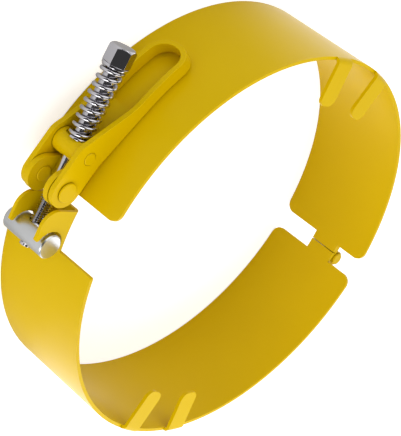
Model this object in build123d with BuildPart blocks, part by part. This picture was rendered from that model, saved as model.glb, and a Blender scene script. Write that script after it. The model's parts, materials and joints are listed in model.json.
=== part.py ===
"""Safety clamp that closes round a pair of coupled hose couplings.

Two curved bands of coated sheet steel are hinged together on one side. On the other
side an over-centre latch pulls them shut: a bent strip handle turns on two rivets,
carries a round trunnion, and the trunnion pulls a sprung bolt whose cross bar lies in
two hook cheeks folded from the end of the lower band. Short tabs bent in from the
front rim keep the clamp from sliding off the couplings.

The ring axis is +Z with the back rim at z = 0 and the tabs at the top. The latch
faces +X, the lower band lies on the +Y side and the upper band on the -Y side.
All lengths are in millimetres and all angles in degrees.
"""

import os
from math import asin, cos, degrees, radians, sin, sqrt

from build123d import *

# The two bands
inner_radius = 92.0
sheet = 1.5
band_width = 50.0
latch_opening = 24.0
end_corner = 4.5
catch_corner = 0.8

# Hinge: a tongue on each band, and a leaf on each tongue rolled round the pin
hinge_angle = 172.2
hinge_height = 28.0
hinge_width = 14.0
upper_tongue = 4.2
lower_tongue = 5.3
tongue_slit = 0.4
slit_from_pin = 2.6
leaf_weld = 3.0
hinge_pin_diameter = 4.0
roll_lip_gap = 0.5
pin_head_diameter = 6.0
pin_head_height = 1.0
pin_head_chamfer = 0.35

# Tabs bent in from the front rim
tab_width = 9.6
tab_reach = 20.0
tab_tip_round = 3.6
tab_bend_radius = 1.0
tab_spacing = 19.8
upper_tabs_angle = -98.9
lower_tabs_angle = 84.6

# Latch, with its places given as height over the band and distance from the gap's middle
latch_height = 21.0
pivot_rise = 10.3
pivot_back = 14.7
trunnion_rise = 5.7
trunnion_back = 29.3
bar_rise = 8.2
bar_ahead = 8.6

# Clearances
turning_clearance = 0.05
side_clearance = 0.2

# Bracket folded from thick sheet and welded to the upper band
bracket_sheet = 2.4
bracket_gap = 9.4
bracket_bend_radius = 0.8
ear_round = 7.6
ear_foot_front = 1.2
ear_foot_length = 10.0
bracket_length = 38.0
bracket_end_round = 2.0

# Pivot rivets
rivet_diameter = 5.0
rivet_head_diameter = 8.4
rivet_head_height = 0.8
rivet_head_chamfer = 0.25
rivet_inner_head_diameter = 6.6
rivet_inner_head_height = 0.5

# Handle, a flat strip bent into a loop
strip = 2.3
handle_round = 7.2
handle_lift = 0.9
loop_depth = 5.6
loop_end_angle = -50.4
loop_start_angle = -31.0
loop_bend_angle = -34.0
loop_width = 16.4
loop_shift = 2.0
loop_blend = 40.0
loop_corner = 7.8

# Trunnion between the handle's legs
trunnion_diameter = 10.3
trunnion_pin_diameter = 5.4
trunnion_pin_proud = 0.3
trunnion_chamfer = 0.3
spring_seat_depth = 1.2
spring_seat_play = 0.4

# Bolt, washer and spring
bolt_diameter = 6.0
bolt_length = 80.0
bolt_tip_proud = 0.75
bolt_hole_play = 0.2
bolt_tip_chamfer = 0.7
head_flats = 10.0
head_height = 7.4
head_chamfer = 0.9
head_turn = 11.0
bolt_hole_clearance = 0.05
washer_diameter = 11.0
washer_thickness = 1.2
spring_diameter = 10.4
spring_wire = 1.7
spring_turns = 10.0
spring_end_turns = 1.0

# Cross bar held in the hook cheeks
bar_diameter = 10.5
bar_length = 23.8
bar_chamfer = 0.5
notch_play = 1.35
notch_back_play = 1.0

# Hook cheeks folded from the lower band
cheek_width = 17.4
cheek_shift = 1.8
cheek_bend_radius = 1.5
hook_back = 9.0
hook_lip = 1.6
hook_lip_drop = 1.7
hook_round = 7.0
hook_lip_round = 0.7
hook_foot = 1.0

# Values worked out from the ones above
outer_radius = inner_radius + sheet
latch_half = degrees(latch_opening / 2 / outer_radius)
knuckle_radius = hinge_pin_diameter / 2 + turning_clearance + sheet
leaf_radius = outer_radius + side_clearance
pin_axis_radius = leaf_radius + knuckle_radius
hinge_low = hinge_height - hinge_width / 2
hinge_high = hinge_height + hinge_width / 2
slit_angle = hinge_angle + degrees(slit_from_pin / outer_radius)
slit_half = degrees(tongue_slit / 2 / outer_radius)
upper_end = slit_angle + degrees(upper_tongue / outer_radius) - 360
lower_end = slit_angle - degrees(lower_tongue / outer_radius)
tongue_root = degrees(end_corner / outer_radius)
weld_reach = degrees(leaf_weld / outer_radius)


def polar(radius, angle):
    """The point at a radius and an angle about the ring axis."""
    return (radius * cos(radians(angle)), radius * sin(radians(angle)))


def sector(low_radius, high_radius, start, end):
    """A flat piece of the ring's section between two angles."""
    with BuildSketch() as piece:
        with BuildLine():
            high = CenterArc((0, 0), high_radius, start, end - start)
            low = CenterArc((0, 0), low_radius, start, end - start)
            Line(low @ 0, high @ 0)
            Line(low @ 1, high @ 1)
        make_face()
    return piece.sketch


def band(start, end, round_start, round_end):
    """A curved strip of sheet, with the corners of both ends rounded."""
    with BuildPart() as strip_of_sheet:
        add(sector(inner_radius, outer_radius, start, end))
        extrude(amount=band_width)
        corners = strip_of_sheet.edges().filter_by(GeomType.LINE).filter_by(Axis.Z, reverse=True)
        middle = (start + end) / 2
        for rounding, side in ((round_start, start), (round_end, end)):
            here = [e for e in corners if near_angle(e.center(), side, middle)]
            fillet(here, rounding)
    return strip_of_sheet.part


def near_angle(point, angle, other):
    """Whether a point stands nearer to one angle of the ring than to another."""
    here = Vector(*polar(outer_radius, angle))
    there = Vector(*polar(outer_radius, other))
    flat = Vector(point.X, point.Y)
    return (flat - here).length < (flat - there).length


def tab(angle):
    """A tab bent inwards over the front rim, with a rounded tip."""
    bend = tab_bend_radius + sheet
    top = band_width + bend
    middle = Plane(origin=(0, 0, 0), x_dir=(cos(radians(angle)), sin(radians(angle)), 0),
                   z_dir=(sin(radians(angle)), -cos(radians(angle)), 0))
    tip = inner_radius - tab_reach
    with BuildPart() as bent_tab:
        with BuildSketch(middle):
            with BuildLine():
                Line((tip, top), (outer_radius - bend, top))
                CenterArc((outer_radius - bend, top - bend), bend, 0, 90)
                Line((outer_radius, band_width), (outer_radius, band_width - sheet))
                Line((outer_radius, band_width - sheet), (inner_radius, band_width - sheet))
                Line((inner_radius, band_width - sheet), (inner_radius, band_width))
                CenterArc((outer_radius - bend, top - bend), tab_bend_radius, 0, 90)
                Line((outer_radius - bend, top - sheet), (tip, top - sheet))
                Line((tip, top - sheet), (tip, top))
            make_face()
        sweep_angle = degrees(tab_width / tip)
        revolve(axis=Axis.Z, revolution_arc=sweep_angle)
        revolve_back = bent_tab.part.rotate(Axis.Z, -sweep_angle)
        add(revolve_back)
        with BuildSketch(Plane.XY) as outline:
            with Locations(Location((0, 0, 0), (0, 0, angle))):
                with Locations(((tip + outer_radius + sheet) / 2, 0)):
                    Rectangle(outer_radius + sheet - tip, tab_width)
            inner_corners = outline.vertices().sort_by_distance((0, 0))[:2]
            fillet(inner_corners, tab_tip_round)
        extrude(amount=top + sheet, mode=Mode.INTERSECT)
    return bent_tab.part


def curved_strap(low_radius, high_radius, start, end, low, high):
    """A narrow curved strip between two angles and two heights."""
    with BuildPart() as strap:
        with BuildSketch(Plane.XY.offset(low)):
            add(sector(low_radius, high_radius, start, end))
        extrude(amount=high - low)
    return strap.part


def knuckle(low, high, side):
    """The end of a hinge leaf, rolled outwards round the pin and open by a narrow lip gap.

    The side is +1 where the leaf comes from larger angles and -1 where it comes from smaller ones.
    """
    centre = polar(pin_axis_radius, hinge_angle)
    with BuildPart() as roll:
        with BuildSketch(Plane.XY.offset(low)):
            with Locations(centre):
                Circle(knuckle_radius)
                Circle(knuckle_radius - sheet, mode=Mode.SUBTRACT)
            with Locations(Location((*centre, 0), (0, 0, hinge_angle))):
                with Locations((roll_lip_gap / 2 + sheet - knuckle_radius, side * knuckle_radius / 2)):
                    Rectangle(roll_lip_gap, knuckle_radius, mode=Mode.SUBTRACT)
        extrude(amount=high - low)
    return roll.part


# Places of the latch's three axes, seen along the ring axis
pivot = Vector(outer_radius + pivot_rise, -pivot_back)
trunnion_centre = Vector(outer_radius + trunnion_rise, -trunnion_back)
bar_centre = Vector(outer_radius + bar_rise, bar_ahead)
bolt_direction = (bar_centre - trunnion_centre).normalized()
bolt_reach = (bar_centre - trunnion_centre).length
bolt_tip = bolt_reach + bar_diameter / 2 + bolt_tip_proud
head_seat = bolt_tip - bolt_length
washer_seat = head_seat + washer_thickness
spring_seat = spring_seat_depth - trunnion_diameter / 2

# The bolt's own frame: its origin is the trunnion's centre and its z runs to the tip
bolt_frame = Plane(origin=(trunnion_centre.X, trunnion_centre.Y, latch_height),
                   x_dir=(0, 0, 1), z_dir=(bolt_direction.X, bolt_direction.Y, 0))


def latch_plane(offset):
    """A plane square to the ring axis, at a distance in front of the latch's middle."""
    return Plane.XY.offset(latch_height + offset)


# Half widths of the latch, from its middle outwards
ear_inside = bracket_gap / 2
ear_outside = ear_inside + bracket_sheet
leg_inside = ear_outside + side_clearance
leg_outside = leg_inside + strip
cheek_outside = cheek_width / 2
cheek_inside = cheek_outside - sheet
knuckle_play = side_clearance / 2

# Upper band with its tabs and its half of the hinge
with BuildPart() as upper_band:
    add(band(upper_end, -latch_half, end_corner, end_corner))
    tongue_end = slit_angle + slit_half
    leaf_end = upper_end + 360 + weld_reach
    leaf_low = hinge_height + knuckle_play
    add(curved_strap(inner_radius, outer_radius, tongue_end, upper_end + 360 + tongue_root,
                     hinge_low, hinge_high))
    add(curved_strap(outer_radius, leaf_radius + sheet, tongue_end, leaf_end, leaf_low, hinge_high))
    add(curved_strap(leaf_radius, leaf_radius + sheet, hinge_angle, tongue_end, leaf_low, hinge_high))
    add(knuckle(leaf_low, hinge_high, 1))
    for shift in (-0.5, 0.5):
        add(tab(upper_tabs_angle + shift * tab_spacing))
upper_band.part.label = "upper_band"

# Side outline of the two hook cheeks, with the notch that the cross bar lies in
notch_radius = bar_diameter / 2 + notch_play
notch_centre = bar_centre + bolt_direction * (notch_play - notch_back_play)
hook_top = notch_centre.Y - notch_radius - hook_back
hook_outside = notch_centre.X + notch_radius + hook_lip
lip_end = bar_centre.Y - hook_lip_drop
lip_inside = notch_centre.X + sqrt(notch_radius ** 2 - (notch_centre.Y - lip_end) ** 2)
web_start = -degrees(asin(-hook_top / inner_radius))
with BuildSketch() as hook_outline:
    with BuildLine():
        web = CenterArc((0, 0), inner_radius, web_start, latch_half - web_start)
        Polyline(web @ 0, (hook_outside, hook_top), (hook_outside, lip_end), (lip_inside, lip_end))
        notch = ThreePointArc((lip_inside, lip_end), notch_centre - Vector(0, notch_radius),
                              notch_centre - Vector(notch_radius, 0))
        Polyline(notch @ 1, polar(outer_radius + hook_foot, latch_half), web @ 1)
    make_face()
    fillet(hook_outline.vertices().sort_by_distance((hook_outside, hook_top))[0], hook_round)
    fillet(hook_outline.vertices().sort_by_distance((hook_outside, lip_end))[:2], hook_lip_round)

# Lower band with its tabs, its half of the hinge and the two hook cheeks
with BuildPart() as lower_band:
    with BuildSketch(latch_plane(cheek_shift - cheek_outside)):
        add(hook_outline.sketch)
    extrude(amount=cheek_width)
    fold = lower_band.edges().filter_by(GeomType.CIRCLE).filter_by(
        lambda edge: abs(edge.radius - inner_radius) < sheet / 4)
    fillet(fold, cheek_bend_radius + sheet)
    with BuildSketch(latch_plane(cheek_shift - cheek_inside)):
        add(sector(outer_radius, hook_outside + sheet, 3 * web_start, 2 * latch_half))
    channel = extrude(amount=2 * cheek_inside, mode=Mode.PRIVATE)
    channel_floor = channel.edges().filter_by(GeomType.CIRCLE).filter_by(
        lambda edge: abs(edge.radius - outer_radius) < sheet / 4)
    add(channel.fillet(cheek_bend_radius, channel_floor), mode=Mode.SUBTRACT)
    add(band(latch_half, lower_end, catch_corner, end_corner))
    leaf_high = hinge_height - knuckle_play
    add(curved_strap(inner_radius, outer_radius, lower_end - tongue_root, slit_angle - slit_half,
                     hinge_low, hinge_high))
    add(curved_strap(outer_radius, leaf_radius + sheet, lower_end - weld_reach, hinge_angle,
                     hinge_low, leaf_high))
    add(knuckle(hinge_low, leaf_high, -1))
    for shift in (-0.5, 0.5):
        add(tab(lower_tabs_angle + shift * tab_spacing))
lower_band.part.label = "lower_band"

# Hinge pin with a head peened at each end
pin_low = hinge_low - knuckle_play
pin_high = hinge_high + knuckle_play
with BuildPart() as hinge_pin:
    for start, length, diameter in (
        (pin_low, pin_high - pin_low, hinge_pin_diameter),
        (pin_low, -pin_head_height, pin_head_diameter),
        (pin_high, pin_head_height, pin_head_diameter),
    ):
        with BuildSketch(Plane.XY.offset(start)):
            with Locations(polar(pin_axis_radius, hinge_angle)):
                Circle(diameter / 2)
        extrude(amount=length)
    rims = hinge_pin.edges().filter_by(GeomType.CIRCLE).group_by(Axis.Z)
    chamfer([rims[0], rims[-1]], pin_head_chamfer)
hinge_pin.part.label = "hinge_pin"

# Bracket that carries the handle: a web on the band with two ears turned up from it
web_radius = outer_radius + bracket_sheet
bracket_end = -latch_half - degrees(bracket_length / outer_radius)
foot_start = -latch_half - degrees(ear_foot_front / outer_radius)
foot_end = foot_start - degrees(ear_foot_length / outer_radius)
with BuildPart() as latch_bracket:
    with BuildSketch(latch_plane(-ear_outside)):
        with Locations(pivot):
            Circle(ear_round)
        add(sector(outer_radius, web_radius, foot_end, foot_start))
        make_hull()
        add(sector(outer_radius, web_radius, bracket_end, foot_start))
        Circle(outer_radius, mode=Mode.SUBTRACT)
        with Locations(pivot):
            Circle(rivet_diameter / 2, mode=Mode.SUBTRACT)
    extrude(amount=2 * ear_outside)
    with BuildSketch(latch_plane(-ear_inside)):
        add(sector(web_radius, pivot.X + 2 * ear_round, 2 * bracket_end, 0))
    channel = extrude(amount=bracket_gap, mode=Mode.PRIVATE)
    channel_floor = channel.edges().filter_by(GeomType.CIRCLE).filter_by(
        lambda edge: abs(edge.radius - web_radius) < bracket_sheet / 4)
    add(channel.fillet(bracket_bend_radius, channel_floor), mode=Mode.SUBTRACT)
    far_corners = latch_bracket.edges().filter_by(GeomType.LINE).filter_by(
        lambda edge: edge.length < 1.5 * bracket_sheet).sort_by(Axis.Y)[:2]
    fillet(far_corners, bracket_end_round)
latch_bracket.part.label = "latch_bracket"


def pivot_rivet(side):
    """A rivet through one ear and one leg, with a head on each end."""
    inner_face = ear_inside - rivet_inner_head_height
    outer_face = leg_outside + side_clearance
    with BuildPart() as rivet:
        for start, length, diameter in (
            (inner_face, rivet_inner_head_height, rivet_inner_head_diameter),
            (ear_inside, outer_face - ear_inside, rivet_diameter),
            (outer_face, rivet_head_height, rivet_head_diameter),
        ):
            with BuildSketch(latch_plane(side * start)):
                with Locations(pivot):
                    Circle(diameter / 2)
            extrude(amount=side * length)
        rims = rivet.edges().filter_by(GeomType.CIRCLE).group_by(Axis.Z)
        chamfer([rims[0], rims[-1]], rivet_head_chamfer)
    return rivet.part


# Two rivets on one line, which leave the bolt room to pass between them
front_rivet = pivot_rivet(1)
front_rivet.label = "pivot_rivet_front"
back_rivet = pivot_rivet(-1)
back_rivet.label = "pivot_rivet_back"

# Handle: its side outline, cut to the hairpin that is seen from outside the ring
loop_low = outer_radius + handle_lift
loop_high = loop_low + loop_depth
leg_middle = leg_inside + strip / 2
loop_half_width = max(leg_outside, loop_shift + (loop_width + strip) / 2) + side_clearance
along_loop = Vector(sin(radians(loop_bend_angle)), -cos(radians(loop_bend_angle)))
out_of_loop = Vector(cos(radians(loop_bend_angle)), sin(radians(loop_bend_angle)))
loop_end = Vector(*polar((loop_low + loop_high) / 2, loop_end_angle)).dot(along_loop) - strip / 2
loop_front = loop_shift + loop_width / 2
loop_back = loop_shift - loop_width / 2
straight_end = trunnion_centre.dot(along_loop) + handle_round
past_bracket = Vector(*polar(loop_low, bracket_end)).dot(along_loop) + strip
legs_start = pivot.dot(along_loop) - 2 * handle_round
loop_view = Plane(origin=(0, 0, latch_height), x_dir=along_loop, z_dir=out_of_loop)
with BuildPart() as handle:
    with BuildSketch(latch_plane(-loop_half_width)):
        with Locations(pivot, trunnion_centre):
            Circle(handle_round)
        make_hull()
        with BuildSketch(mode=Mode.PRIVATE) as neck:
            with Locations(trunnion_centre):
                Circle(handle_round)
            with BuildLine():
                Line(polar(loop_low, loop_start_angle), polar(loop_high, loop_start_angle))
            make_hull()
        add(neck.sketch)
        add(sector(loop_low, loop_high, loop_end_angle - latch_half, loop_start_angle))
        shoulder = polar(loop_high, loop_start_angle)
    extrude(amount=2 * loop_half_width)
    bend = handle.edges().filter_by(Axis.Z).sort_by_distance((*shoulder, latch_height))[0]
    fillet(bend, loop_blend)
    with BuildSketch(loop_view):
        with BuildLine():
            FilletPolyline(
                (legs_start, leg_middle), (straight_end, leg_middle), (loop_end, loop_front),
                (loop_end, loop_back), (past_bracket, -leg_middle), (legs_start, -leg_middle),
                radius=(loop_blend, loop_corner, loop_corner, loop_blend))
        trace(line_width=strip)
    extrude(amount=2 * outer_radius, mode=Mode.INTERSECT)
    with BuildSketch(latch_plane(-loop_half_width)):
        with Locations(pivot):
            Circle(rivet_diameter / 2 + turning_clearance)
        with Locations(trunnion_centre):
            Circle(trunnion_pin_diameter / 2 + turning_clearance)
    extrude(amount=2 * loop_half_width, mode=Mode.SUBTRACT)
handle.part.label = "handle"

# Trunnion: a barrel between the legs, with a turned pin at each end and a cross hole
barrel_half = leg_inside - side_clearance
pin_half = leg_outside + trunnion_pin_proud
with BuildPart() as trunnion:
    for half, diameter in ((barrel_half, trunnion_diameter), (pin_half, trunnion_pin_diameter)):
        with BuildSketch(latch_plane(-half)):
            with Locations(trunnion_centre):
                Circle(diameter / 2)
        extrude(amount=2 * half)
    rims = trunnion.edges().filter_by(GeomType.CIRCLE).group_by(Axis.Z)
    chamfer([rims[0], rims[-1]], trunnion_chamfer)
    with BuildSketch(bolt_frame):
        Circle(bolt_diameter / 2 + bolt_hole_play)
    extrude(amount=trunnion_diameter, both=True, mode=Mode.SUBTRACT)
    with BuildSketch(bolt_frame.offset(spring_seat)):
        Circle(spring_diameter / 2 + spring_seat_play)
    extrude(amount=-trunnion_diameter / 2, mode=Mode.SUBTRACT)
trunnion.part.label = "trunnion"

# Bolt: a hexagon head with its corners turned off, and a plain shank
bolt_axis = Axis(bolt_frame.origin, bolt_frame.z_dir)
head_top = head_seat - head_height
across_corners = head_flats / cos(radians(30))
with BuildPart() as hexagon_head:
    with BuildSketch(bolt_frame.offset(head_seat)):
        RegularPolygon(head_flats / 2, 6, major_radius=False, rotation=head_turn)
    extrude(amount=-head_height)
    with BuildSketch(Plane(bolt_frame.origin, x_dir=bolt_frame.x_dir, z_dir=bolt_frame.y_dir)):
        with BuildLine():
            Polyline((0, -head_seat), (across_corners / 2, -head_seat),
                     (across_corners / 2, -head_top - head_chamfer),
                     (head_flats / 2 - head_chamfer / 3, -head_top), (0, -head_top), close=True)
        make_face()
    revolve(axis=bolt_axis, mode=Mode.INTERSECT)
with BuildPart() as bolt:
    with BuildSketch(bolt_frame.offset(head_seat)):
        Circle(bolt_diameter / 2)
    extrude(amount=bolt_length)
    chamfer(bolt.edges().sort_by(bolt_axis)[-1], bolt_tip_chamfer)
    add(hexagon_head.part)
bolt.part.label = "bolt"

# Washer under the bolt's head
with BuildPart() as washer:
    with BuildSketch(bolt_frame.offset(head_seat)):
        Circle(washer_diameter / 2)
        Circle(bolt_diameter / 2 + bolt_hole_play, mode=Mode.SUBTRACT)
    extrude(amount=washer_thickness)
washer.part.label = "washer"

# Spring between the washer and the trunnion, with closed and ground ends
spring_length = spring_seat - washer_seat
spring_mean_radius = (spring_diameter - spring_wire) / 2
open_turns = spring_turns - 2 * spring_end_turns
open_length = spring_length - 2 * spring_end_turns * spring_wire


def coil(start, length, turns, turned):
    """A stretch of the wire of an upright spring, from a height and an angle about its axis."""
    with BuildPart() as stretch:
        with BuildLine(Plane.XY.offset(start).rotated((0, 0, turned))) as path:
            Helix(pitch=length / turns, height=length, radius=spring_mean_radius)
        with BuildSketch(Plane(origin=path.line @ 0, z_dir=path.line % 0)):
            Circle(spring_wire / 2)
        sweep(path=path.line, is_frenet=True)
    return stretch.part


end_length = spring_end_turns * spring_wire
with BuildPart() as upright_spring:
    add(coil(0, end_length, spring_end_turns, 0))
    add(coil(end_length, open_length, open_turns, 360 * spring_end_turns))
    add(coil(end_length + open_length, end_length, spring_end_turns, 360 * (spring_end_turns + open_turns)))
    with BuildSketch(Plane.XY):
        Circle(spring_diameter)
    extrude(amount=spring_length, mode=Mode.INTERSECT)
spring = upright_spring.part.moved(bolt_frame.offset(washer_seat).location)
spring.label = "spring"

# Cross bar: a turned bar across both cheeks, with a threaded hole for the bolt
with BuildPart() as cross_bar:
    with BuildSketch(latch_plane(-bar_length / 2)):
        with Locations(bar_centre):
            Circle(bar_diameter / 2)
    extrude(amount=bar_length)
    rims = cross_bar.edges().filter_by(GeomType.CIRCLE).group_by(Axis.Z)
    chamfer([rims[0], rims[-1]], bar_chamfer)
    with BuildSketch(bolt_frame.offset(bolt_reach)):
        Circle(bolt_diameter / 2 + bolt_hole_clearance)
    extrude(amount=bar_diameter, both=True, mode=Mode.SUBTRACT)
cross_bar.part.label = "cross_bar"

os.makedirs("parts", exist_ok=True)
for piece in (
    upper_band.part, lower_band.part, hinge_pin.part, latch_bracket.part, front_rivet, back_rivet,
    handle.part, trunnion.part, bolt.part, washer.part, spring, cross_bar.part,
):
    export_step(piece, f"parts/{piece.label}.step")
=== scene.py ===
"""Looks of the hinged safety clamp: coated sheet steel, a bright sprung bolt and a zinc-plated bar.

Each piece is a copy of its CAD node with softened edges. On the bolt's copy the plain end is replaced by
a rolled thread, and the spring is modelled whole, as one wound wire. All lengths are in metres.
"""

import json
from math import cos, pi, radians, sin

import bpy
from mathutils import Matrix, Vector


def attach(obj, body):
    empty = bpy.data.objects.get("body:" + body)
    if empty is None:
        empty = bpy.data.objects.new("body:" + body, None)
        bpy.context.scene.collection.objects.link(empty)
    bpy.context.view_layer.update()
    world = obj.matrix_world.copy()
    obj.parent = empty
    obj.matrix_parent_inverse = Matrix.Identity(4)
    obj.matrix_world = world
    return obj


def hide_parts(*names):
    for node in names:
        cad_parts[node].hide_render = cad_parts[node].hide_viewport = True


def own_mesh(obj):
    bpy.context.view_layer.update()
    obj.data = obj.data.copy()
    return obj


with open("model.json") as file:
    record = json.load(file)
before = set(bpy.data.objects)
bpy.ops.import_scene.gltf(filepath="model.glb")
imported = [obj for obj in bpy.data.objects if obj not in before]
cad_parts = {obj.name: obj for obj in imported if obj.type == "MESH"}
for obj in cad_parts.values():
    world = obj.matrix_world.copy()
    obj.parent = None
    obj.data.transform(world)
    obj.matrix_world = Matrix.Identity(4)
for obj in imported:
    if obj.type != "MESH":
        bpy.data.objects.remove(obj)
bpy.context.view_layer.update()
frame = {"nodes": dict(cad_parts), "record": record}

MM = 0.001

# Camera: fitted to the photograph's ring, as a place, three turns in degrees and a long lens
CAMERA_PLACE = (0.54688, -0.21693, 0.39491)
CAMERA_TURNS = (-44.037, -41.645, -146.260)
CAMERA_LENS = 132.1
SENSOR_WIDTH = 36.0
CAMERA_NEAR = 10 * MM

# Floor just under the back rim: its matt shade takes the shadow, and its glow makes it look white
FLOOR_DROP = 0.2 * MM
FLOOR_SIZE = 6.0
FLOOR_PALE = 0.75
FLOOR_GLOW = 0.6

# What mirrors see, which gives the bright metal its contrast. The floor is as bright as the brightest of
# its three shades: along x, along y and outwards from the ring's axis, the last a painted shadow round the
# ring that only mirrors show. The sky darkens towards one side
FLOOR_SHADE_X = {"From Min": -0.03, "From Max": 0.06, "To Min": 1.15, "To Max": 0.0}
FLOOR_SHADE_Y = {"From Min": 0.06, "From Max": 0.12, "To Min": 0.0, "To Max": 1.28}
FLOOR_PAINTED_SHADOW_OUT = {"From Min": 0.105, "From Max": 0.14, "To Min": 0.38, "To Max": 0.54}
SKY_SHADE = {"From Min": -0.2, "From Max": 0.35, "To Min": 1.0, "To Max": 0.05}
DARK_SIDE = (0.6, -0.25, 0.76)
SKY_LIGHT = 0.54

# Soft square lamps: place, size and power
LAMPS = {
    "key": ((0.73, 0.55, 0.36), 0.6, 4.4),
    "over_the_tabs": ((-0.15, 0.35, 0.4), 0.5, 1.8),
    "side": ((0.1, -0.6, 0.5), 0.8, 2.6),
}
LAMP_TARGET = (0.0, 0.0, 0.02)

# Powder coat: a slow drift between two yellows, and the grain and depth of its orange peel. Its mirror is
# kept weaker than such a coat's own, as the photograph's soft light leaves hardly any gloss on it
COAT_YELLOW = "#D8B600"
COAT_DEEP = "#CFAA00"
COAT_DRIFT = 60 * MM
PEEL_GRAIN = 1.6 * MM
PEEL_DEPTH = 0.05 * MM
PEEL_STRENGTH = 0.12
COAT_ROUGHNESS = 0.3
COAT_IOR = 1.5
COAT_SPECULAR = 0.08

# Bright nickel plate: handling marks, between which it stays a sharper mirror
BRIGHT_PLATE = "#CCCACF"
MARK_GRAIN = 3 * MM
PLATE_ROUGHNESS = {"To Min": 0.06, "To Max": 0.16}

# Zinc plate: rings from the lathe under it. Real ones are too fine to show, so they are drawn this far
# apart. A wave texture of scale 1 has its waves 2 pi / 20 apart
ZINC = "#D2D4D6"
RING_SPACING = 0.754 * MM
WAVE_SPACING = 2 * pi / 20
RING_WANDER = 1.5
RING_DEPTH = 0.03 * MM
RING_STRENGTH = 0.15
ZINC_ROUGHNESS = 0.3

# Painted shade in seams, as round a rivet's head or in the thread: where ambient occlusion finds deep
# shadow, the base colour is darkened. Its reach, the share of open sky at which the painted shade is full
# and gone, and the share of its colour that each finish keeps there
PAINTED_SHADE_REACH = 0.9 * MM
PAINTED_SHADE_SAMPLES = 8
PAINTED_SHADE_OPENNESS = {"From Min": 0.3, "From Max": 0.8}
COAT_KEPT_IN_PAINTED_SHADE = 0.42
PLATE_KEPT_IN_PAINTED_SHADE = 0.35

# Sockets of a colour mix, whose names stand for several sockets each
MIX_FACTOR, MIX_FIRST, MIX_SECOND, MIX_RESULT = 0, 6, 7, 2

WHITE = "#FFFFFF"

# Pieces whose edges are rounded, and by how much: wider on the coated sheet than on turned and small ones
SHEET_PIECES = ("upper_band", "lower_band", "latch_bracket", "handle")
SHEET_ROUNDING = 0.4 * MM
SMALL_PIECES = ("hinge_pin", "pivot_rivet_front", "pivot_rivet_back", "trunnion", "washer", "cross_bar")
SMALL_ROUNDING = 0.15 * MM
ROUNDING_SEGMENTS = 3

# How much more broad faces count than roundings in the shading, which is the most that there is
BROAD_FACE_WEIGHT = 100

# Edges over these angles stay sharp, on rounded and on wound pieces
SHARP_ANGLE = radians(38)
WOUND_SHARP_ANGLE = radians(40)

# Points nearer than this are one point, and faces flatter to each other than this are one face
SAME_POINT = 0.002 * MM
SAME_FACE = radians(0.4)

# Bolt: an M6, threaded from this far past the trunnion's middle to its tip
BOLT_DIAMETER = 6.0 * MM
THREAD_START = 19.0 * MM
THREAD_PITCH = 1.0 * MM
THREAD_DEPTH = 0.55 * MM
THREAD_STEPS = 28
STEM_SIDES = 48

# The thread's ridge is a triangle a little wider than the pitch, whose foot is sunk into the stem
RIDGE_HALF_WIDTH = 0.56 * THREAD_PITCH
RIDGE_SUNK = THREAD_DEPTH / 3

# Spring: its wire, its outside and its turns, of which one at each end lies closed
SPRING_WIRE = 1.7 * MM
SPRING_DIAMETER = 10.4 * MM
SPRING_TURNS = 10.0
SPRING_END_TURNS = 1.0
POINTS_PER_TURN = 28
WIRE_ROUNDNESS = 5
SPRING_JOINT = "spring_give"


def linear(code):
    """An sRGB hex code as a linear colour with full alpha."""
    channels = [int(code[i:i + 2], 16) / 255 for i in (1, 3, 5)]
    values = [c / 12.92 if c <= 0.04045 else ((c + 0.055) / 1.055) ** 2.4 for c in channels]
    return (*values, 1.0)


def add_node(tree, kind, sockets=None, **settings):
    """A node with its settings, and with each given socket set to a value or linked from an output."""
    node = tree.nodes.new(kind)
    for name, value in settings.items():
        setattr(node, name, value)
    for socket, value in (sockets or {}).items():
        if isinstance(value, bpy.types.NodeSocket):
            tree.links.new(value, node.inputs[socket])
        else:
            node.inputs[socket].default_value = value
    return node


def new_material(name, surface):
    """A material whose shader is made in its tree by one of the functions below."""
    material = bpy.data.materials.new(name)
    material.use_nodes = True
    tree = material.node_tree
    tree.nodes.clear()
    add_node(tree, "ShaderNodeOutputMaterial", {"Surface": surface(tree)})
    return material


def painted_seam_shade(tree, colour, share):
    """A colour of which only a share is left where pieces nearly meet: painted shade in the seams."""
    occlusion = add_node(tree, "ShaderNodeAmbientOcclusion", {"Distance": PAINTED_SHADE_REACH}, samples=PAINTED_SHADE_SAMPLES)
    kept = add_node(tree, "ShaderNodeMapRange", {
        "Value": occlusion.outputs["AO"], **PAINTED_SHADE_OPENNESS, "To Min": share, "To Max": 1.0})
    with_painted_shade = add_node(tree, "ShaderNodeMix", {
        MIX_FACTOR: 1.0, MIX_FIRST: colour, MIX_SECOND: kept.outputs["Result"],
    }, data_type="RGBA", blend_type="MULTIPLY")
    return with_painted_shade.outputs[MIX_RESULT]


def powder_coat(tree):
    """Polyester powder coat, baked on steel: semi-gloss, with the faint orange peel of melted powder."""
    place = add_node(tree, "ShaderNodeTexCoord").outputs["Object"]
    drift = add_node(tree, "ShaderNodeTexNoise", {"Vector": place, "Scale": 1 / COAT_DRIFT, "Detail": 2.0})
    tint = add_node(tree, "ShaderNodeMix", {
        MIX_FACTOR: drift.outputs["Fac"], MIX_FIRST: linear(COAT_DEEP), MIX_SECOND: linear(COAT_YELLOW),
    }, data_type="RGBA")
    peel = add_node(tree, "ShaderNodeTexNoise", {"Vector": place, "Scale": 1 / PEEL_GRAIN, "Detail": 1.0})
    bump = add_node(tree, "ShaderNodeBump", {
        "Height": peel.outputs["Fac"], "Strength": PEEL_STRENGTH, "Distance": PEEL_DEPTH})
    shader = add_node(tree, "ShaderNodeBsdfPrincipled", {
        # The base colour carries painted shade in the seams
        "Base Color": painted_seam_shade(tree, tint.outputs[MIX_RESULT], COAT_KEPT_IN_PAINTED_SHADE),
        "Roughness": COAT_ROUGHNESS,
        "IOR": COAT_IOR,
        "Specular IOR Level": COAT_SPECULAR,
        "Normal": bump.outputs["Normal"],
    })
    return shader.outputs["BSDF"]


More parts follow.
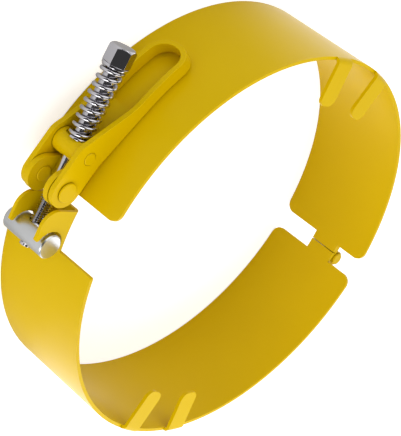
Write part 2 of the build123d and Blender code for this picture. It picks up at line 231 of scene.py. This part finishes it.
def bright_plate(tree):
    """Bright nickel plate on drawn steel: a sharp mirror, dulled a little by fine handling marks."""
    place = add_node(tree, "ShaderNodeTexCoord").outputs["Object"]
    marks = add_node(tree, "ShaderNodeTexNoise", {"Vector": place, "Scale": 1 / MARK_GRAIN, "Detail": 4.0})
    dulled = add_node(tree, "ShaderNodeMapRange", {"Value": marks.outputs["Fac"], **PLATE_ROUGHNESS})
    shader = add_node(tree, "ShaderNodeBsdfPrincipled", {
        # The base colour carries painted shade in the seams
        "Base Color": painted_seam_shade(tree, linear(BRIGHT_PLATE), PLATE_KEPT_IN_PAINTED_SHADE),
        "Metallic": 1.0,
        "Roughness": dulled.outputs["Result"],
    })
    return shader.outputs["BSDF"]


def zinc_plate(tree):
    """Zinc plate on a turned bar: satin grey, with fine rings from the lathe round its upright axis."""
    place = add_node(tree, "ShaderNodeTexCoord").outputs["Object"]
    rings = add_node(tree, "ShaderNodeTexWave", {
        "Vector": place, "Scale": WAVE_SPACING / RING_SPACING, "Distortion": RING_WANDER, "Detail": 2.0,
    }, bands_direction="Z")
    bump = add_node(tree, "ShaderNodeBump", {
        "Height": rings.outputs["Fac"], "Strength": RING_STRENGTH, "Distance": RING_DEPTH})
    shader = add_node(tree, "ShaderNodeBsdfPrincipled", {
        "Base Color": linear(ZINC),
        "Metallic": 1.0,
        "Roughness": ZINC_ROUGHNESS,
        "Normal": bump.outputs["Normal"],
    })
    return shader.outputs["BSDF"]


def pick(*pieces):
    """Makes some pieces the only ones selected, and the first of them the active one."""
    bpy.ops.object.select_all(action="DESELECT")
    for piece in pieces:
        piece.select_set(True)
    bpy.context.view_layer.objects.active = pieces[0]


def edit_all(piece):
    """Opens a piece in edit mode with its whole mesh selected."""
    pick(piece)
    bpy.ops.object.mode_set(mode="EDIT")
    bpy.ops.mesh.select_all(action="SELECT")


def round_edges(piece, width):
    """Rounds a piece's sharp edges and keeps its broad faces flat to the light."""
    pick(piece)
    bevel = piece.modifiers.new("rounded_edges", "BEVEL")
    bevel.width = width
    bevel.segments = ROUNDING_SEGMENTS
    bevel.limit_method = "ANGLE"
    bevel.angle_limit = SHARP_ANGLE
    bevel.use_clamp_overlap = True
    bevel.miter_outer = "MITER_ARC"
    bpy.ops.object.modifier_apply(modifier=bevel.name)
    bpy.ops.object.shade_smooth_by_angle(angle=SHARP_ANGLE)
    weights = piece.modifiers.new("flat_faces", "WEIGHTED_NORMAL")
    weights.keep_sharp = True
    weights.weight = BROAD_FACE_WEIGHT
    bpy.ops.object.modifier_apply(modifier=weights.name)


def merged_copy(node):
    """A copy of a CAD node, free of its tags, with its loose triangles joined into broad faces."""
    source = frame["nodes"][node]
    piece = source.copy()
    piece.data = source.data.copy()
    piece.name = node + "_finished"
    piece.parent = None
    for tag in list(piece.keys()):
        del piece[tag]
    bpy.context.scene.collection.objects.link(piece)
    edit_all(piece)
    bpy.ops.mesh.remove_doubles(threshold=SAME_POINT)
    bpy.ops.mesh.dissolve_limited(angle_limit=SAME_FACE)
    bpy.ops.mesh.customdata_custom_splitnormals_clear()
    bpy.ops.object.mode_set(mode="OBJECT")
    return piece


def finish_piece(piece, node):
    """Gives a piece its finish, lets it stand for a node and ride on that node's body."""
    piece.data.materials.clear()
    piece.data.materials.append(finishes[slot_of_node[node]])
    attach(piece, body_of_node[node])
    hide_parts(node)


def reach(node):
    """How far a node reaches along the bolt's axis from the trunnion's middle, both ways."""
    steps = [(v.co - trunnion_middle).dot(bolt_axis) for v in frame["nodes"][node].data.vertices]
    return min(steps), max(steps)


def place_along_bolt(piece):
    """Moves an upright piece from the origin to the bolt's axis, and keeps its place in its mesh."""
    piece.data.transform(bolt_place)
    piece.data.update()


def bolt_stem(core, length):
    """The thread's core, a plain rod that starts one pitch inside the shank."""
    bpy.ops.object.select_all(action="DESELECT")
    bpy.ops.mesh.primitive_cylinder_add(vertices=STEM_SIDES, radius=core, depth=length + THREAD_PITCH,
                                        location=(0, 0, THREAD_START + (length - THREAD_PITCH) / 2))
    stem = bpy.context.active_object
    bpy.ops.object.transform_apply(location=True, rotation=True, scale=True)
    round_edges(stem, SMALL_ROUNDING)
    place_along_bolt(stem)
    return stem


def thread_ridge(core, length):
    """The thread's ridge: a triangle wound round the core, once for each pitch that has room."""
    bpy.ops.object.select_all(action="DESELECT")
    bpy.ops.mesh.primitive_circle_add(vertices=3, radius=THREAD_PITCH / 2, fill_type="NOTHING")
    ridge = bpy.context.active_object
    first_crest = THREAD_START + THREAD_PITCH / 2
    foot = core - RIDGE_SUNK
    corners = ((core + THREAD_DEPTH, 0), (foot, RIDGE_HALF_WIDTH), (foot, -RIDGE_HALF_WIDTH))
    for vertex, (radius, step) in zip(ridge.data.vertices, corners):
        vertex.co = (radius, 0, first_crest + step)
    winding = ridge.modifiers.new("winding", "SCREW")
    winding.axis = "Z"
    winding.screw_offset = THREAD_PITCH
    winding.iterations = int(length / THREAD_PITCH) - 1
    winding.steps = THREAD_STEPS
    winding.render_steps = THREAD_STEPS
    bpy.ops.object.modifier_apply(modifier=winding.name)
    bpy.ops.object.mode_set(mode="EDIT")
    bpy.ops.mesh.select_all(action="DESELECT")
    bpy.ops.mesh.select_mode(type="EDGE")
    bpy.ops.mesh.select_non_manifold()
    bpy.ops.mesh.fill()
    bpy.ops.mesh.select_all(action="SELECT")
    bpy.ops.mesh.normals_make_consistent(inside=False)
    bpy.ops.object.mode_set(mode="OBJECT")
    bpy.ops.object.shade_smooth_by_angle(angle=WOUND_SHARP_ANGLE)
    place_along_bolt(ridge)
    return ridge


def threaded_bolt():
    """The bolt: its head and plain shank from the CAD node, and a rolled thread to its tip."""
    bolt = merged_copy("bolt")
    edit_all(bolt)
    bpy.ops.mesh.bisect(plane_co=trunnion_middle + THREAD_START * bolt_axis, plane_no=bolt_axis,
                        use_fill=True, clear_outer=True)
    bpy.ops.object.mode_set(mode="OBJECT")
    round_edges(bolt, SMALL_ROUNDING)
    core = BOLT_DIAMETER / 2 - THREAD_DEPTH
    length = reach("bolt")[1] - THREAD_START
    pick(bolt, bolt_stem(core, length), thread_ridge(core, length))
    bpy.ops.object.join()
    finish_piece(bolt, "bolt")


def wire_climb(turn, length):
    """How far the wire has climbed after some turns: closed end turns, and even ones between them."""
    open_turns = SPRING_TURNS - 2 * SPRING_END_TURNS
    open_length = length - 2 * SPRING_END_TURNS * SPRING_WIRE
    lower = min(turn, SPRING_END_TURNS)
    middle = max(0.0, min(turn - SPRING_END_TURNS, open_turns))
    upper = max(0.0, turn - SPRING_END_TURNS - open_turns)
    return (lower + upper) * SPRING_WIRE + middle * open_length / open_turns


def wound_spring():
    """The compression spring: one wire wound round the bolt, with its end turns closed and ground."""
    low, high = reach("spring")
    length = high - low
    radius = (SPRING_DIAMETER - SPRING_WIRE) / 2
    curve = bpy.data.curves.new("spring_wire", "CURVE")
    curve.dimensions = "3D"
    curve.bevel_depth = SPRING_WIRE / 2
    curve.bevel_resolution = WIRE_ROUNDNESS
    curve.use_fill_caps = True
    wire = curve.splines.new("POLY")
    wire.points.add(int(SPRING_TURNS * POINTS_PER_TURN))
    for index, point in enumerate(wire.points):
        turn = index / POINTS_PER_TURN
        angle = 2 * pi * turn
        point.co = (radius * cos(angle), radius * sin(angle), low + wire_climb(turn, length), 1.0)
    spring = bpy.data.objects.new("spring_finished", curve)
    bpy.context.scene.collection.objects.link(spring)
    pick(spring)
    bpy.ops.object.convert(target="MESH")
    spring = bpy.context.active_object
    bpy.ops.object.mode_set(mode="EDIT")
    for height, outside in ((low, -1), (high, 1)):
        bpy.ops.mesh.select_all(action="SELECT")
        bpy.ops.mesh.bisect(plane_co=(0, 0, height), plane_no=(0, 0, outside), use_fill=True,
                            clear_outer=True)
    bpy.ops.mesh.select_all(action="SELECT")
    bpy.ops.mesh.remove_doubles(threshold=SAME_POINT)
    bpy.ops.mesh.normals_make_consistent(inside=False)
    bpy.ops.object.mode_set(mode="OBJECT")
    bpy.ops.object.shade_smooth_by_angle(angle=WOUND_SHARP_ANGLE)
    place_along_bolt(spring)
    finish_piece(spring, "spring")
    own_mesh(spring)


def seen_by_mirrors(tree, path, shade):
    """A factor that is 1 for most rays, and for mirror rays the linked shade."""
    factor = add_node(tree, "ShaderNodeMapRange", {
        "Value": path.outputs["Is Glossy Ray"], "To Min": 1.0, "To Max": shade})
    return factor.outputs["Result"]


def seen_white(tree, path):
    """A factor that is 1 where the camera or a mirror looks, and 0 for the light on matt surfaces."""
    seen = add_node(tree, "ShaderNodeMath", {
        0: path.outputs["Is Camera Ray"], 1: path.outputs["Is Glossy Ray"]}, operation="MAXIMUM")
    return seen.outputs[0]


def pale_floor(tree):
    """Matt pale board: white to the camera but for the shadow, and in mirrors darker by the latch."""
    path = add_node(tree, "ShaderNodeLightPath")
    place = add_node(tree, "ShaderNodeTexCoord").outputs["Object"]
    along = add_node(tree, "ShaderNodeSeparateXYZ", {"Vector": place})
    outwards = add_node(tree, "ShaderNodeVectorMath", {0: place}, operation="LENGTH")
    brightest = 0.0
    # Outwards from the ring's axis, the floor's mirror shade is a painted shadow round the ring
    for distance, shades in (
        (outwards.outputs["Value"], FLOOR_PAINTED_SHADOW_OUT),
        (along.outputs["X"], FLOOR_SHADE_X),
        (along.outputs["Y"], FLOOR_SHADE_Y),
    ):
        shade = add_node(tree, "ShaderNodeMapRange", {"Value": distance, **shades},
                         interpolation_type="SMOOTHSTEP")
        brighter = add_node(tree, "ShaderNodeMath", {0: brightest, 1: shade.outputs["Result"]},
                            operation="MAXIMUM")
        brightest = brighter.outputs[0]
    level = seen_by_mirrors(tree, path, brightest)
    seen = add_node(tree, "ShaderNodeMath", {0: seen_white(tree, path), 1: level}, operation="MULTIPLY")
    strength = add_node(tree, "ShaderNodeMath", {0: seen.outputs[0], 1: FLOOR_GLOW}, operation="MULTIPLY")
    glow = add_node(tree, "ShaderNodeEmission", {"Color": linear(WHITE), "Strength": strength.outputs[0]})
    pale = add_node(tree, "ShaderNodeMath", {0: level, 1: FLOOR_PALE}, operation="MULTIPLY")
    matt = add_node(tree, "ShaderNodeBsdfDiffuse", {"Color": pale.outputs[0]})
    both = add_node(tree, "ShaderNodeAddShader", {0: glow.outputs[0], 1: matt.outputs[0]})
    return both.outputs[0]


def make_floor():
    """A wide pale floor under the back rim."""
    bpy.ops.object.select_all(action="DESELECT")
    bpy.ops.mesh.primitive_plane_add(size=FLOOR_SIZE, location=(0, 0, -FLOOR_DROP))
    floor = bpy.context.active_object
    floor.name = "floor"
    floor.data.materials.append(new_material("pale_floor", pale_floor))


def make_sky():
    """A white studio with a dark side, which only mirrors show, and a soft even light for the rest."""
    world = bpy.data.worlds.new("studio")
    bpy.context.scene.world = world
    world.use_nodes = True
    tree = world.node_tree
    tree.nodes.clear()
    path = add_node(tree, "ShaderNodeLightPath")
    place = add_node(tree, "ShaderNodeTexCoord").outputs["Generated"]
    towards = add_node(tree, "ShaderNodeVectorMath", {0: place, 1: Vector(DARK_SIDE).normalized()},
                       operation="DOT_PRODUCT")
    shade = add_node(tree, "ShaderNodeMapRange", {"Value": towards.outputs["Value"], **SKY_SHADE},
                     interpolation_type="SMOOTHSTEP")
    level = seen_by_mirrors(tree, path, shade.outputs["Result"])
    light = add_node(tree, "ShaderNodeMapRange", {
        "Value": seen_white(tree, path), "To Min": SKY_LIGHT, "To Max": 1.0})
    strength = add_node(tree, "ShaderNodeMath", {0: light.outputs["Result"], 1: level},
                        operation="MULTIPLY")
    sky = add_node(tree, "ShaderNodeBackground", {"Color": linear(WHITE), "Strength": strength.outputs[0]})
    add_node(tree, "ShaderNodeOutputWorld", {"Surface": sky.outputs[0]})


def add_lamp(name, place, size, power):
    """A square soft lamp that faces the object."""
    data = bpy.data.lights.new(name, "AREA")
    data.size = size
    data.energy = power
    lamp = bpy.data.objects.new(name, data)
    bpy.context.scene.collection.objects.link(lamp)
    lamp.location = place
    lamp.rotation_euler = (Vector(LAMP_TARGET) - Vector(place)).to_track_quat("-Z", "Y").to_euler()


def make_camera():
    """The camera at the photograph's place."""
    data = bpy.data.cameras.new("camera")
    data.lens = CAMERA_LENS
    data.sensor_width = SENSOR_WIDTH
    data.clip_start = CAMERA_NEAR
    camera = bpy.data.objects.new("camera", data)
    bpy.context.scene.collection.objects.link(camera)
    camera.location = CAMERA_PLACE
    camera.rotation_euler = [radians(turn) for turn in CAMERA_TURNS]
    bpy.context.scene.camera = camera


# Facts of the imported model. The hinge pin's peened heads were coated together with the bands
record = frame["record"]
joints = {joint["name"]: joint for joint in record["behaviour"]["joints"]}
body_of_node = {node: body for body, nodes in record["behaviour"]["bodies"].items() for node in nodes}
slot_of_node = {part["node"]: part["material_slot"] for part in record["subparts"]}
slot_of_node["hinge_pin"] = "yellow_powder_coat"
finishes = {
    "yellow_powder_coat": new_material("polyester_powder_coat_yellow", powder_coat),
    "bright_plated_steel": new_material("bright_nickel_plate", bright_plate),
    "zinc_plated_steel": new_material("zinc_plated_turned_steel", zinc_plate),
}

# The bolt's axis at rest, which leaves the trunnion's middle
trunnion_middle = Vector(joints["bolt_swing"]["pos_m"])
bolt_axis = Vector(joints[SPRING_JOINT]["axis"]).normalized()
bolt_turn = Vector((0, 0, 1)).rotation_difference(bolt_axis).to_matrix().to_4x4()
bolt_place = Matrix.Translation(trunnion_middle) @ bolt_turn

for node_names, rounding in ((SHEET_PIECES, SHEET_ROUNDING), (SMALL_PIECES, SMALL_ROUNDING)):
    for node_name in node_names:
        rounded = merged_copy(node_name)
        round_edges(rounded, rounding)
        finish_piece(rounded, node_name)
threaded_bolt()
wound_spring()

make_floor()
make_sky()
for lamp_name, lamp_facts in LAMPS.items():
    add_lamp(lamp_name, *lamp_facts)
make_camera()
bpy.context.scene.view_settings.view_transform = "Standard"
